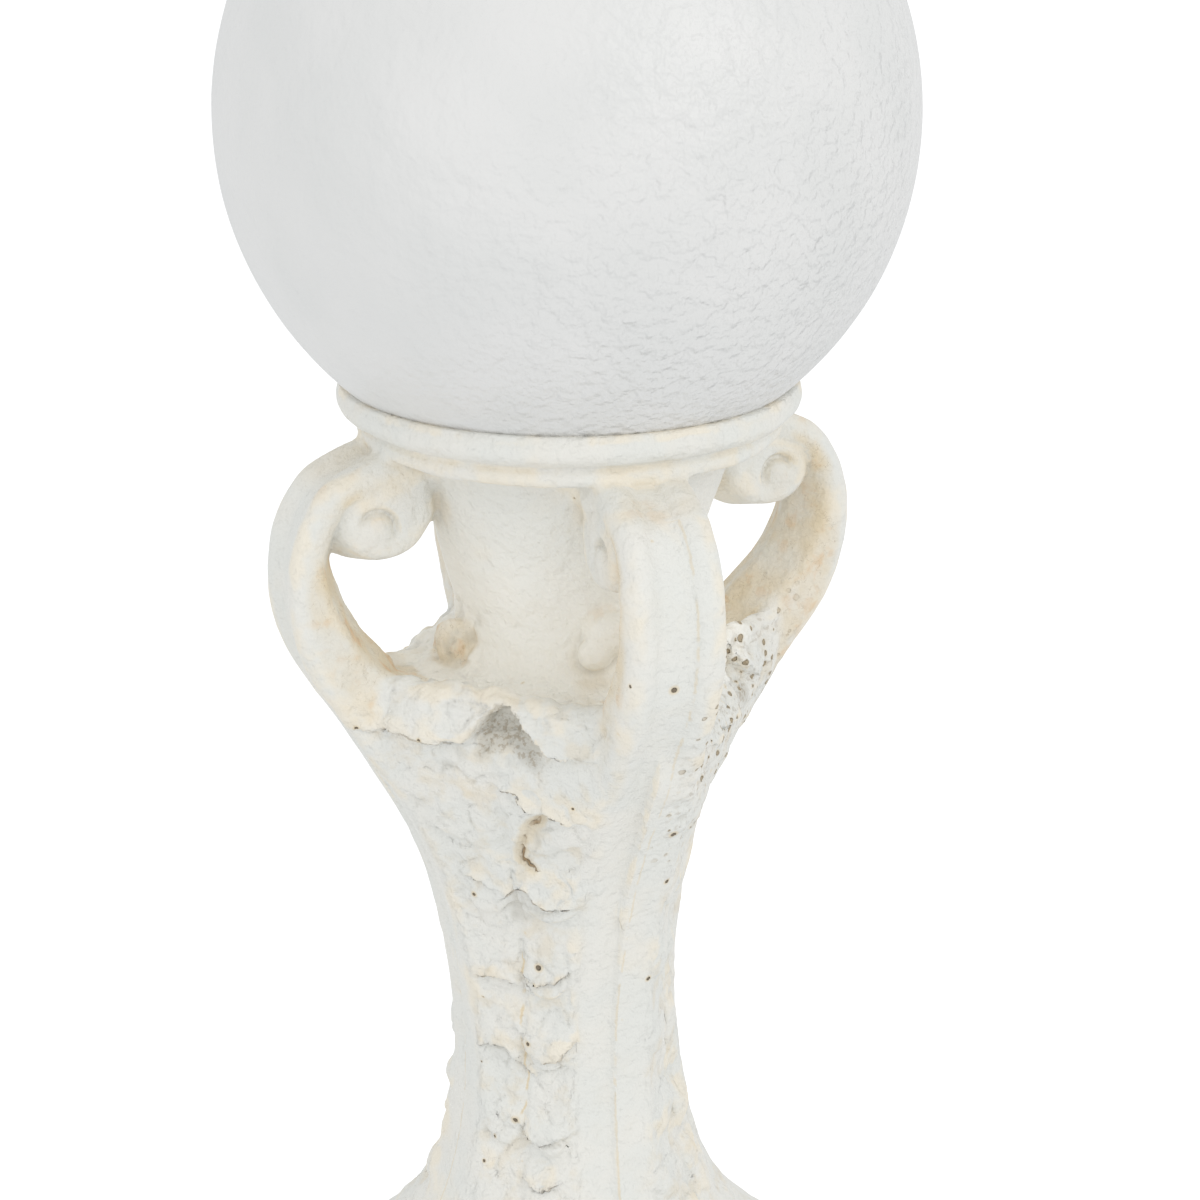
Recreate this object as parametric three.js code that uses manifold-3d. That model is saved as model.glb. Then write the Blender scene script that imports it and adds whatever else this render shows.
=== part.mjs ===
// Roof finial: a plain ball resting in the collar of a cast pedestal.
// The pedestal is one casting: collar, neck, four scroll straps, a leaf-carved column and a moulded base.
// Millimetres, Z up. The underside is at z = 0 and the scrolls stand close to the X and Y axes.
import * as THREE from "three";
import { mergeVertices } from "three/addons/utils/BufferGeometryUtils.js";
import Module from "manifold-3d";

// Ball and its seat
const BALL_RADIUS = 100;
const BALL_CENTRE_Z = 440;
const SEAT_GAP = 0.6;
const SEAT_LOW_RADIUS = 58;
const SEAT_TOP_RADIUS = 66.6;
const CUP_RADIUS = 36;
const CUP_Z = 340;

// Collar: a half-round ring over a thinner one, with a groove between them
const RING_RADIUS = 63.2;
const RING_Z = 360.6;
const RING_SIZE = 5.2;
const GROOVE_RADIUS = 62.6;
const GROOVE_Z = 355.1;
const BEAD_RADIUS = 62.9;
const BEAD_DEPTH = 1.8;
const BEAD_TOP_Z = 354.2;
const BEAD_BOTTOM_Z = 348.8;

// Neck from the underside of the collar, then the dished floor between the straps: [radius, z]
const NECK_PROFILE = [[51, 347.6], [46.8, 339], [40.6, 320], [34.9, 297]];
const FLOOR_PROFILE = [[34.6, 288.5], [37.5, 283], [44, 280], [44, 262]];
const FLOOR_Z = 280.4;
const RIM_Z = 284.4;
// The inner side of the rim, up from the floor: [inward of the faces, share of the way up to the rim]
const RIM_INSIDE = [[14, 0], [8, 0.25], [3, 1]];
// For each face, how far the middle of its rim is raised, and how far it is drawn in
const RIM_LIFT = [-9, -17, 0, 2.5];
const RIM_INSET = [0, 0, 0, 9];

// Column: [z, distance of the flat faces from the axis], and the height where it turns from round to square
const COLUMN_KNOTS = [
  [292, 55.5], [279, 58.2], [264, 57.8], [250, 53], [232, 46], [212, 40.2], [190, 36.2], [170, 34.2],
  [148, 33.6], [128, 34.8], [108, 39], [90, 47], [72, 60.5], [57, 75.5], [47, 86],
];
const ROUND_Z = 70;
const SQUARE_Z = 135;
const FLARE_LEVELS = [68, 55, 46];

// Ribs at the corners of the column, where the straps cover the body
const RIB_HALF_WIDTH = 12.2;
const RIB_SINK = 4;

// Leaves on the faces: two columns of overlapping lobes beside a crease, each row ending in scalloped edges
const LOBE_STATIONS = [0, 0.13, 0.42, 0.72, 1];
const LOBE_ROWS = [[0.03, -0.15], [0.5, 0.9], [0.975, 0.9]];
const LEAF_EDGES = [239, 212, 184.5, 157, 130.5, 108.5, 90.5];
const LEAF_STAGGER = [0, 9, 0, 9];
const LEAF_SAG = 8;
const LEAF_PROUD = 4;
const CREASE_DEPTH = 1;

// The rolled lip at the head of each face, open over a pointed hollow
const LIP_Z = 273;
const LIP_PROUD = 4;
const LIP_DROP = 8;
const HOLLOW_SHIFT = 0.18;
const HOLLOW_REACH = 0.36;
const HOLLOW_HEIGHT = 14;
const HOLLOW_DEPTH = 8;

// Buds at the foot of the neck, one under each curl
const BUD_RADIUS = 36.5;
const BUD_LEVELS = [296.5, 296.5, 288, 296.5];
const BUD_SIZE = [6.5, 8, 7.5];

// Facets round the turned parts
const TURNED_FACETS = 32;

// Base mouldings
const BASE_BEAD_RADIUS = 88.5;
const BASE_BEAD_Z = 36.5;
const BASE_BEAD_SIZE = 6.2;
const PLINTH_RADIUS = 99;
const PLINTH_TOP_Z = 28;
const PLINTH_CHAMFER = 2;

// Scroll straps: [radius, z] of the outer face from the collar down to the base
const STRAP_LINE = [
  [44, 350.5], [60, 350.6], [70.5, 347], [81, 340.5], [88.4, 327], [90.6, 308.4], [86.2, 288.5], [74, 267.5],
  [58, 241], [46.4, 213], [39.2, 181], [36.2, 152], [36.8, 128], [41.4, 105], [52, 84], [69, 63], [84, 46.5],
];
const STRAP_STATIONS = 21;
const STRAP_AZIMUTHS = [3, 89.5, 180.2, 266.8];
// The first strap is cast thinner under its loop, and the leaves beside it are fainter
const STRAP_THINNING = [9.5, 0, 0, 0];
const LEAF_FADING = 0.09;
const THINNEST_Z = 244;
const THINNING_ABOVE = 36;
const THINNING_BELOW = 110;
// Along the strap: [share of its length, half width, side thickness, keel depth, half width of the channel]
const STRAP_SIZES = [
  [0, 13.6, 8, 5, 3], [0.27, 14.7, 8.5, 6.5, 5.5], [0.36, 14.7, 14.5, 6, 5.5],
  [0.44, 14.6, 19, 5, 4.7], [0.64, 12.8, 12, 4, 0.9], [1, 14.5, 12, 4, 0.9],
];
const CHANNEL_DEPTH = 2.4;

// Curl at the inner end of each strap, with its eye: [radius, z] centres and sizes
const CURL_CENTRE = [61.9, 330];
const CURL_SIDE = [11.8, 9.6];
const CURL_KEEL = [19.4, 13.6];
const CURL_STRETCH = 0.45;
const CURL_STRETCH_TURN = 130;
const CURL_HALF_WIDTH = 14;
const CURL_SEGMENTS = 12;
const EYE_CENTRE = [64.4, 329];
const EYE_RADIUS = 4.6;
const EYE_GROOVE_WIDTH = 1.4;
const EYE_GROOVE_DEPTH = 2;
const EYE_GROOVE_TURN = 115;

// Facets flatter than this are merged
const SKIN_TOLERANCE = 0.12;

const radians = THREE.MathUtils.degToRad;
const { clamp, lerp, smoothstep } = THREE.MathUtils;

const wasm = await Module();
wasm.setup();

function toManifold(geometry) {
  const bare = new THREE.BufferGeometry();
  bare.setAttribute("position", geometry.attributes.position);
  bare.setIndex(geometry.index);
  const merged = mergeVertices(bare);
  return new wasm.Manifold(new wasm.Mesh({
    numProp: 3,
    vertProperties: new Float32Array(merged.attributes.position.array),
    triVerts: new Uint32Array(merged.index.array),
  }));
}

function toGeometry(manifold) {
  const mesh = manifold.getMesh();
  const geometry = new THREE.BufferGeometry();
  geometry.setAttribute("position", new THREE.BufferAttribute(mesh.vertProperties, 3));
  geometry.setIndex(new THREE.BufferAttribute(mesh.triVerts, 1));
  geometry.computeVertexNormals();
  return geometry;
}

// A closed skin over rings of equal point counts, each end closed by a fan to a cap point
function loft(rings, startCap, endCap) {
  const count = rings[0].length;
  const positions = [startCap, ...rings.flat(), endCap].flatMap((p) => [p.x, p.y, p.z]);
  const last = rings.length * count + 1;
  const at = (ring, k) => 1 + ring * count + (k % count);
  const index = [];
  for (let k = 0; k < count; k++) {
    index.push(0, at(0, k), at(0, k + 1));
    for (let ring = 0; ring < rings.length - 1; ring++) {
      index.push(at(ring, k), at(ring + 1, k), at(ring + 1, k + 1));
      index.push(at(ring, k), at(ring + 1, k + 1), at(ring, k + 1));
    }
    index.push(last, at(rings.length - 1, k + 1), at(rings.length - 1, k));
  }
  const geometry = new THREE.BufferGeometry();
  geometry.setAttribute("position", new THREE.BufferAttribute(new Float32Array(positions), 3));
  geometry.setIndex(index);
  return geometry;
}

function polar(radius, azimuth, z) {
  return new THREE.Vector3(radius * Math.cos(azimuth), radius * Math.sin(azimuth), z);
}

function arc(centre, size, from, to, steps) {
  const points = [];
  for (let k = 0; k <= steps; k++) {
    const angle = radians(lerp(from, to, k / steps));
    points.push([centre[0] + size * Math.cos(angle), centre[1] + size * Math.sin(angle)]);
  }
  return points;
}

// Straight interpolation in a table whose first column rises or falls steadily
function lookup(table, x, column = 1) {
  const rising = table[table.length - 1][0] > table[0][0];
  let k = 0;
  while (k < table.length - 2 && (rising ? x > table[k + 1][0] : x < table[k + 1][0])) k++;
  const t = clamp((x - table[k][0]) / (table[k + 1][0] - table[k][0]), 0, 1);
  return lerp(table[k][column], table[k + 1][column], t);
}

const columnCurve = new THREE.CatmullRomCurve3(COLUMN_KNOTS.map(([z, r]) => new THREE.Vector3(r, 0, z)));
const columnTable = columnCurve.getPoints(80).map((p) => [p.z, p.x]);

function faceDistance(z) {
  return lookup(columnTable, z);
}

// The most that the casting is thinned, blended over the face between the straps on its two sides
function mostThinning(face, v) {
  return lerp(STRAP_THINNING[face], STRAP_THINNING[(face + 1) % 4], clamp((v + 1) / 2, 0, 1));
}

// How much thinner the casting is at height z
function thinning(z, face, v) {
  const reach = z > THINNEST_Z ? THINNING_ABOVE : THINNING_BELOW;
  return mostThinning(face, v) * Math.exp(-(((z - THINNEST_Z) / reach) ** 2));
}

// The column is square above and round below: its radius at an angle from the middle of a face
function columnRadius(z, angle) {
  const square = smoothstep(z, ROUND_Z, SQUARE_Z);
  return faceDistance(z) * lerp(1, 1 / Math.cos(angle), square);
}

// The dished seat follows the ball a small gap away near the ring, over a deeper cup
function seatProfile() {
  const seatZ = (radius) => BALL_CENTRE_Z - Math.sqrt((BALL_RADIUS + SEAT_GAP) ** 2 - radius ** 2);
  const seat = [SEAT_LOW_RADIUS, SEAT_TOP_RADIUS].map((radius) => [radius, seatZ(radius)]);
  return [[CUP_RADIUS, CUP_Z], ...seat];
}

function collarProfile() {
  const ring = arc([RING_RADIUS, RING_Z], RING_SIZE, 30, -78, 4);
  const bead = arc([0, 0], 1, 90, -90, 3).map(([x, z]) => [
    BEAD_RADIUS - BEAD_DEPTH * (1 - x),
    lerp(BEAD_BOTTOM_Z, BEAD_TOP_Z, (z + 1) / 2),
  ]);
  return [...ring, [GROOVE_RADIUS, GROOVE_Z], ...bead];
}

// Places round the column: v runs from 0 at the crease of a face to 1 at its ribs, and is 2 under a rib
function columnPlaces() {
  const places = [];
  const shares = [...LOBE_STATIONS.slice(1).reverse().map((v) => -v), ...LOBE_STATIONS, 2];
  STRAP_AZIMUTHS.forEach((from, face) => {
    const to = STRAP_AZIMUTHS[(face + 1) % 4] + (face === 3 ? 360 : 0);
    const middle = radians((from + to) / 2);
    const half = radians((to - from) / 2);
    shares.forEach((v) => places.push({ middle, half, v, face }));
  });
  return places;
}

// Half the width of the bare face as an angle at height z, leaving room for the ribs beside it
function faceReach(half, z) {
  return half - Math.asin(RIB_HALF_WIDTH / (1.12 * faceDistance(z)));
}

// Swell of a lobe across the face: none in the crease and at the ribs, full between them
function lobeSwell(v) {
  return Math.sqrt(Math.max(0, 1 - ((v - 0.5) / 0.52) ** 2));
}

// Depth of a lobe's hanging edge below its ends
function lobeSag(v) {
  return 1 - ((v - 0.45) / 0.55) ** 2;
}

// Each row starts in the ground under the row above and ends in a proud hanging edge: [outward, z]
function leafRow({ v, face }, upper, lower) {
  const across = Math.min(Math.abs(v), 1);
  const drop = LEAF_SAG * lobeSag(across) + (v > 0.1 ? LEAF_STAGGER[face] : 0);
  const crease = across === 0 ? CREASE_DEPTH : 0;
  const proud = LEAF_PROUD * lobeSwell(across) * (1 - LEAF_FADING * mostThinning(face, v));
  return LOBE_ROWS.map(([share, swell]) => [swell * proud - crease, lerp(upper, lower, share) - drop]);
}

// Height of the rim round the floor
function rimLevel({ v, face }) {
  const share = Math.abs(v) > 1 ? 0 : 1 - 0.3 * v ** 2;
  return RIM_Z + RIM_LIFT[face] * share;
}

// The lip hangs over a hollow with its point up in the middle of the face. A low rim has no hollow.
function lipRows(place) {
  const { v, face } = place;
  const across = Math.min(Math.abs(v), 1);
  const rim = rimLevel(place);
  const gap = rim < RIM_Z - LIP_DROP ? 0 : Math.max(0, 1 - Math.abs(v - HOLLOW_SHIFT) / HOLLOW_REACH);
  const fading = 1 - LEAF_FADING * mostThinning(face, v);
  const proud = LIP_PROUD * (0.4 + 0.6 * lobeSwell(across)) * (1 - across ** 4) * fading;
  const edge = Math.min(LIP_Z - 0.5 * LEAF_SAG * lobeSag(across) + HOLLOW_HEIGHT * gap, rim - 2);
  const foot = LIP_Z - LIP_DROP - 0.5 * LEAF_SAG * lobeSag(across) + 6 * gap;
  return [
    [0.8 * proud, lerp(rim, edge, 0.35)],
    [proud, edge],
    [-0.5 - HOLLOW_DEPTH * Math.sqrt(gap), edge - 1],
    [-0.4 * HOLLOW_DEPTH * gap, foot],
  ];
}

// Outline of the column at one place round it: [radius, z, azimuth] from the floor over the rim and down
function columnProfile(place) {
  const rim = rimLevel(place);
  const inset = RIM_INSET[place.face] * Math.max(0, 1 - place.v ** 2);
  const edges = [LIP_Z - LIP_DROP, ...LEAF_EDGES];
  const rows = [
    ...RIM_INSIDE.map(([inward, share]) => [-inward, lerp(FLOOR_Z, rim, share)]),
    ...lipRows(place),
    ...LEAF_EDGES.flatMap((lower, row) => leafRow(place, edges[row], lower)),
    ...FLARE_LEVELS.map((z) => [0, z]),
  ];
  const underRib = Math.abs(place.v) > 1;
  return rows.map(([outward, z]) => {
    const reach = faceReach(place.half, z);
    const sunk = underRib && z < LIP_Z;
    const angle = underRib ? place.half : place.v * reach;
    const drawnIn = inset * smoothstep(z, LIP_Z - LIP_DROP, RIM_Z) + thinning(z, place.face, place.v);
    const ground = columnRadius(z, sunk ? 0 : Math.min(angle, reach)) - drawnIn;
    return [ground + outward - (sunk ? RIB_SINK : 0), z, place.middle + angle];
  });
}

function baseProfile() {
  return [
    [BASE_BEAD_RADIUS - 12, BASE_BEAD_Z + BASE_BEAD_SIZE + 1],
    ...arc([BASE_BEAD_RADIUS, BASE_BEAD_Z], BASE_BEAD_SIZE, 70, -70, 3),
    [PLINTH_RADIUS - PLINTH_CHAMFER, PLINTH_TOP_Z],
    [PLINTH_RADIUS, PLINTH_TOP_Z - PLINTH_CHAMFER],
    [PLINTH_RADIUS, PLINTH_CHAMFER],
    [PLINTH_RADIUS - PLINTH_CHAMFER, 0],
  ];
}

// A closed body of rings round the axis, from profiles [radius, z, azimuth] that run from the top down
function makeTurned(profiles) {
  const corner = ([r, z, azimuth]) => polar(r, azimuth, z);
  const rings = profiles[0].map((_, row) => profiles.map((profile) => corner(profile[row])));
  const axisPoint = (ring) => polar(0, 0, ring.reduce((sum, p) => sum + p.z, 0) / ring.length);
  return toManifold(loft(rings, axisPoint(rings[0]), axisPoint(rings[rings.length - 1])));
}

// The same profile all the way round
function spin(profile) {
  const azimuths = Array.from({ length: TURNED_FACETS }, (_, k) => (2 * Math.PI * k) / TURNED_FACETS);
  return azimuths.map((azimuth) => profile.map(([r, z]) => [r, z, azimuth]));
}

function makeBody() {
  return wasm.Manifold.union([
    makeTurned(spin([...seatProfile(), ...collarProfile(), ...NECK_PROFILE, ...FLOOR_PROFILE])),
    makeTurned(columnPlaces().map(columnProfile)),
    makeTurned(spin(baseProfile())),
  ]);
}

// Cross-section of a strap, [outward, sideways]: two broad rolls, a channel between them and a keel inside
function strapSection([halfWidth, thickness, keel, channel]) {
  const roll = (halfWidth + channel) / 2;
  const reach = (halfWidth - channel) / 2;
  const flank = [
    [-thickness, halfWidth],
    [-3, halfWidth],
    [-0.3, roll + 0.45 * reach],
    [-0.3, roll - 0.4 * reach],
    [-CHANNEL_DEPTH, channel],
  ];
  const mirrored = flank.map(([n, t]) => [n, -t]);
  return [[-thickness - keel, 0], ...mirrored, ...flank.reverse()];
}

// Places [radius, z, sideways] in the upright plane at one azimuth
function placer(azimuth) {
  const radial = polar(1, azimuth, 0);
  const sideways = polar(1, azimuth + Math.PI / 2, 0);
  return (r, z, t) => new THREE.Vector3(0, 0, z).addScaledVector(radial, r).addScaledVector(sideways, t);
}

function makeStrap(azimuth, face) {
  const place = placer(azimuth);
  const points = STRAP_LINE.map(([r, z]) => new THREE.Vector3(r - thinning(z, face, -1), 0, z));
  const line = new THREE.CatmullRomCurve3(points, false, "centripetal");
  const rings = [];
  const middles = [];
  for (let k = 0; k <= STRAP_STATIONS; k++) {
    const share = k / STRAP_STATIONS;
    const point = line.getPoint(share);
    const along = line.getTangent(share);
    const sizes = [1, 2, 3, 4].map((column) => lookup(STRAP_SIZES, share, column));
    const station = ([n, t]) => place(point.x - n * along.z, point.z + n * along.x, t);
    rings.push(strapSection(sizes).map(station));
    middles.push(station([-sizes[1] / 2, 0]));
  }
  return loft(rings, middles[0], middles[STRAP_STATIONS]);
}

function makeCurl(azimuth) {
  const place = placer(azimuth);
  const angles = Array.from({ length: CURL_SEGMENTS }, (_, k) => (2 * Math.PI * k) / CURL_SEGMENTS);
  const oval = ([r, z], [width, height], depthAt, stretch = 0) => angles.map((angle) => {
    const size = 1 + stretch * Math.max(0, Math.cos(angle - radians(CURL_STRETCH_TURN))) ** 4;
    return place(r + size * width * Math.cos(angle), z + size * height * Math.sin(angle), depthAt(angle));
  });
  // The groove runs round the upper part of the eye only
  const grooved = (side) => (angle) => {
    const fade = smoothstep(Math.cos(angle - radians(EYE_GROOVE_TURN)), -0.25, 0.35);
    return side * (CURL_HALF_WIDTH - EYE_GROOVE_DEPTH * fade);
  };
  const edge = EYE_RADIUS + EYE_GROOVE_WIDTH;
  const face = (side) => [
    oval(EYE_CENTRE, [EYE_RADIUS - 1, EYE_RADIUS - 1], () => side * (CURL_HALF_WIDTH + 0.5)),
    oval(EYE_CENTRE, [EYE_RADIUS, EYE_RADIUS], grooved(side)),
    oval(EYE_CENTRE, [edge, edge], () => side * CURL_HALF_WIDTH),
    oval(CURL_CENTRE, CURL_SIDE, () => side * (CURL_HALF_WIDTH - 0.6), CURL_STRETCH),
  ];
  const cap = (side) => place(...EYE_CENTRE, side * (CURL_HALF_WIDTH + 0.9));
  return loft([...face(-1), oval(CURL_CENTRE, CURL_KEEL, () => 0), ...face(1).reverse()], cap(-1), cap(1));
}

function makeBud(azimuth, level) {
  const bud = new THREE.SphereGeometry(1, 8, 5);
  bud.scale(...BUD_SIZE);
  bud.translate(BUD_RADIUS, 0, level);
  bud.rotateZ(azimuth);
  return toManifold(bud);
}

function makePedestal() {
  const parts = [makeBody()];
  STRAP_AZIMUTHS.forEach((degrees, k) => {
    const azimuth = radians(degrees);
    parts.push(toManifold(makeStrap(azimuth, k)));
    parts.push(toManifold(makeCurl(azimuth)));
    parts.push(makeBud(azimuth, BUD_LEVELS[k]));
  });
  return toGeometry(wasm.Manifold.union(parts).simplify(SKIN_TOLERANCE));
}

function makeBall() {
  const geometry = new THREE.SphereGeometry(BALL_RADIUS, 32, 16);
  geometry.rotateX(Math.PI / 2);
  return geometry;
}

const castPaint = new THREE.MeshStandardMaterial({ color: 0xece9e0, roughness: 0.55, metalness: 0 });
const ballPaint = new THREE.MeshStandardMaterial({ color: 0xe9e9e6, roughness: 0.35, metalness: 0 });

const pedestal = new THREE.Mesh(makePedestal(), castPaint);
pedestal.name = "pedestal";

const ball = new THREE.Mesh(makeBall(), ballPaint);
ball.name = "ball";
ball.position.set(0, 0, BALL_CENTRE_Z);

const finial = new THREE.Group();
finial.name = "finial";
finial.add(pedestal, ball);

export default finial;
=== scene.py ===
"""Looks of the ball finial: the cast pedestal, the painted ball, the floor, the light and the camera.

The pedestal is worked out in millimetres as a field of distances to its surface, negative inside, and
then meshed. Heights z are from the plinth's underside, and v runs across a face of the column: 0 in its
middle, -1 and 1 at the ribs on its two sides.
"""

import math

import bpy
import numpy as np
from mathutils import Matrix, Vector


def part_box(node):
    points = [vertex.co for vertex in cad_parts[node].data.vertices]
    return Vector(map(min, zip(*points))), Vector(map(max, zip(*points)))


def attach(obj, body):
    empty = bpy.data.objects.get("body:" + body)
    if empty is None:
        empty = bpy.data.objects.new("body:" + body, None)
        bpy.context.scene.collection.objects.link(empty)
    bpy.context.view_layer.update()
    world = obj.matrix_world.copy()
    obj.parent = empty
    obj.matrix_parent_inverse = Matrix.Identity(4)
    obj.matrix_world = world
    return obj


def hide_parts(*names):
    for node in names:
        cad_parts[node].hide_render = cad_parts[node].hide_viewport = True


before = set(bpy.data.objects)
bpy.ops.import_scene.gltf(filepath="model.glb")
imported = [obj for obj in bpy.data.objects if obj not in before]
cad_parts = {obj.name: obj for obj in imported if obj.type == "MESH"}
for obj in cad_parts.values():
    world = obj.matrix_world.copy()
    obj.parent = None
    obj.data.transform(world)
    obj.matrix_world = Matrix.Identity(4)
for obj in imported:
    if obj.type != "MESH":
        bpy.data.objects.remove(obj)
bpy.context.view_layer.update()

MM = 0.001
BALL_LOW, BALL_HIGH = (np.array(corner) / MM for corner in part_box("ball"))
CAST_LOW, CAST_HIGH = (np.array(corner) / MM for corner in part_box("pedestal"))
BALL_RADIUS = (BALL_HIGH[2] - BALL_LOW[2]) / 2
BALL_CENTRE_Z = (BALL_HIGH[2] + BALL_LOW[2]) / 2
PLINTH_RADIUS = CAST_HIGH[0]
COLLAR_TOP_Z = CAST_HIGH[2]

# Camera of the photograph: where it stands from the ball's centre, and how it is turned
CAMERA_AZIMUTH = math.radians(-112.5)
CAMERA_DISTANCE = 0.7133
CAMERA_ABOVE_BALL = 0.1106
CAMERA_PITCH = 0.34492
CAMERA_YAW = 0.01285
CAMERA_LENS = 75.07

# Meshing: the grid's cell, the reach of exact distances, and the mesh's size
CELL = 1.0
FAR = 16
PEDESTAL_TRIANGLES = 192000
SMOOTH_PASSES = 2
LARGEST_STEP = 0.4
BALL_SEGMENTS = 256
BALL_RINGS = 128
SEED = 7

# Turned outlines: [radius, z]. They are closed at CORE, past the axis.
CORE = -9
SEAT_GAP = -1.2
CUP = [[0, 339], [36, 340]]
SEAT_RADII = [58, 62, 65.4]
RING_CENTRE = (63.2, 360.6)
RING_SIZE = 5.2
RING_TOP_RADIUS = 67.4
GROOVE = [62.6, 355.1]
BEAD_CENTRE = (61.1, 351.5)
BEAD_SIZE = (1.8, 2.7)
NECK = [[51, 347.6], [46.8, 339], [40.6, 320], [34.9, 297]]
FLOOR = [[34.6, 288.5], [37.5, 283], [44, 280], [44, 262]]
BASE_BEAD_CENTRE = (88.5, 36.5)
BASE_BEAD_SIZE = 6.2
PLINTH_TOP_Z = 28
PLINTH_CHAMFER = 2

# Column: [z, distance of the flat faces from the axis]
COLUMN_KNOTS = [
    [292, 55.5], [279, 58.2], [264, 57.8], [250, 53], [232, 46], [212, 40.2], [190, 36.2], [170, 34.2],
    [148, 33.6], [128, 34.8], [108, 39], [90, 47], [72, 60.5], [57, 75.5], [47, 86],
]
ROUND_Z = 70
SQUARE_Z = 135
RIB_HALF_WIDTH = 12.2
FLOOR_Z = 280.4
FLOOR_REACH = 14
RIM_Z = 284.4
RIM_WAVE = 0.9
# For each face, how far the middle of its rim is raised, and how far it is drawn in
RIM_LIFT = np.array([-9, -17, 0, 2.5])
RIM_INSET = np.array([0, 0, 0, 9])

# Leaves on the column's faces
LEAF_EDGES = [265, 239, 212, 184.5, 157, 130.5, 108.5, 90.5, 76]
LEAF_STAGGER = np.array([0, 9, 0, 9])
LEAF_SAG = 8
LEAF_PROUD = 3.6
LEAF_UNEVENNESS = (0.7, 1.1)
LEAF_SIDES = np.array([0.55, 1.0])
LEAF_FADING = 0.09
LIP_Z = 273
LIP_PROUD = 4
LIP_DROP = 8
HOLLOW_SHIFT = 0.18
HOLLOW_REACH = 0.36
HOLLOW_HEIGHT = 14
HOLLOW_DEPTH = 8

# Creases in the front face, from the left of the photo to its right: lines of [v, z]
CREASED_FACE = 2
CREASE_LINES = [
    [[-0.95, 269], [-0.65, 269.5], [-0.42, 268], [-0.2, 269]],
    [[0.08, 255], [0.2, 254]],
    [[0.25, 251], [0.36, 247.5], [0.51, 248], [0.65, 247]],
    [[-0.12, 214], [0.04, 216.5], [0.21, 218], [0.34, 214.5], [0.51, 212.5], [0.8, 214]],
    [[-0.6, 218], [-0.4, 216]],
    [[-0.8, 181.5], [-0.39, 182], [-0.13, 181], [0, 180]],
    [[-1, 156], [-0.48, 157.5], [-0.29, 153.5], [0, 150.5]],
    [[0.05, 185], [0.3, 182.5], [0.58, 184.5], [0.83, 188]],
    [[-0.12, 163.5], [0.13, 157], [0.47, 155.5], [0.76, 158], [0.95, 162]],
    [[-0.1, 131], [0.14, 127], [0.36, 126.5], [0.65, 129]],
    [[0.1, 113], [0.35, 111.5], [0.6, 114]],
]
MIDDLE_LINE = [[0, 190], [-0.03, 175], [-0.1, 161.5], [0, 146.5], [-0.1, 131]]
CREASE_WANDER = 0.6
FOLD_RISE = 1.3
FOLD_REACH = 4
FOLD_DEPTH = 0.9
FOLD_GROOVE = 1.3
CRACK_LINE = [[0.46, 246], [0.34, 242], [0.26, 237], [0.19, 230.5], [0.22, 228], [0.33, 226.5]]
CRACK_WANDER = 1.2
CRACK_DEPTH = 1.5
CRACK_WIDTH = 1.1
# Distance given where a line doesn't reach, and how near a line is drawn
AWAY = 99.0
LINE_NEAR = (1.6, 2.8)

# How far from the skin the paint looks for a crevice, outward, or for an edge, inward. Crevices get painted
# shade, and edges a painted highlight.
CREVICE_REACHES = {"crease": 1.8, "recess": 6, "proud": -3}

# Knobs on the sides of the column: [face, v, z, radius, height]
KNOBS = [
    [3, 0.4, 183, 6, 1.6], [3, 0.35, 158, 7, 2.4], [3, 0.45, 141, 6, 2.2], [3, 0.35, 123, 7, 2.6],
    [3, 0.4, 107, 7, 2.4], [3, -0.1, 171, 6, 1.4], [3, -0.15, 149, 6, 1.6], [3, -0.1, 131, 6, 1.6],
    [1, 0.85, 133, 6, 2], [1, 0.8, 115, 7, 2.2], [1, 0.9, 101, 6, 2],
]
KNOB_STEEPNESS = 1.7

# Roughness of the casting
LUMP_HEIGHT = 0.8
GRAIN_HEIGHT = 0.28
WRINKLE_DEPTH = 0.8
WAVE_HEIGHTS = (0.4, 0.2)
EATEN_DEPTH = 1.5
BURR_HEIGHT = 1.5

# Casting holes: [azimuth in degrees, z, radius]
HOLES = [
    [265.3, 296.7, 0.9], [228.9, 190, 0.9], [226.4, 182.3, 0.6], [222, 161.3, 0.6], [220.7, 131.9, 0.9],
    [210.4, 125.8, 0.5], [203.8, 118.5, 0.5], [245.9, 253.3, 0.4], [192.6, 270, 0.6], [208.1, 269.3, 0.5],
    [276.6, 238.6, 0.9], [281.4, 218.6, 0.7], [281.7, 181.7, 0.7], [208.9, 212.7, 0.6],
]
# Heights of the ball's waves, and the side where its paint has the coarsest orange peel
BALL_WAVES = (0.12, 0.05)
PEEL_AZIMUTH = math.radians(-60)
# The part of the casting that is pitted all over: azimuths and heights
ROUGH_AZIMUTHS = (271, 352)
ROUGH_HEIGHTS = (222, 300)

# Scroll straps: [radius, z] of the outer face from the collar down to the base
STRAP_LINE = [
    [44, 350.5], [60, 350.6], [70.5, 347], [81, 340.5], [88.4, 327], [90.6, 308.4], [86.2, 288.5],
    [74, 267.5], [58, 241], [46.4, 213], [39.2, 181], [36.2, 152], [36.8, 128], [41.4, 105], [52, 84],
    [69, 63], [84, 46.5],
]
STRAP_AZIMUTHS = np.radians([3, 89.5, 180.2, 266.8])
STRAP_THINNING = np.array([9.5, 0, 0, 0])
THINNEST_Z = 244
THINNING_ABOVE = 36
THINNING_BELOW = 110
# [share of the strap's length, half width, side thickness, keel depth, half width of the channel]
STRAP_SIZES = np.array([
    [0, 13.6, 8, 5, 3], [0.27, 14.7, 8.5, 6.5, 5.5], [0.36, 14.7, 14.5, 6, 5.5],
    [0.44, 14.6, 19, 5, 4.7], [0.64, 12.8, 12, 4, 0.9], [1, 14.5, 12, 4, 0.9],
])
CHANNEL_DEPTH = 2.4

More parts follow.
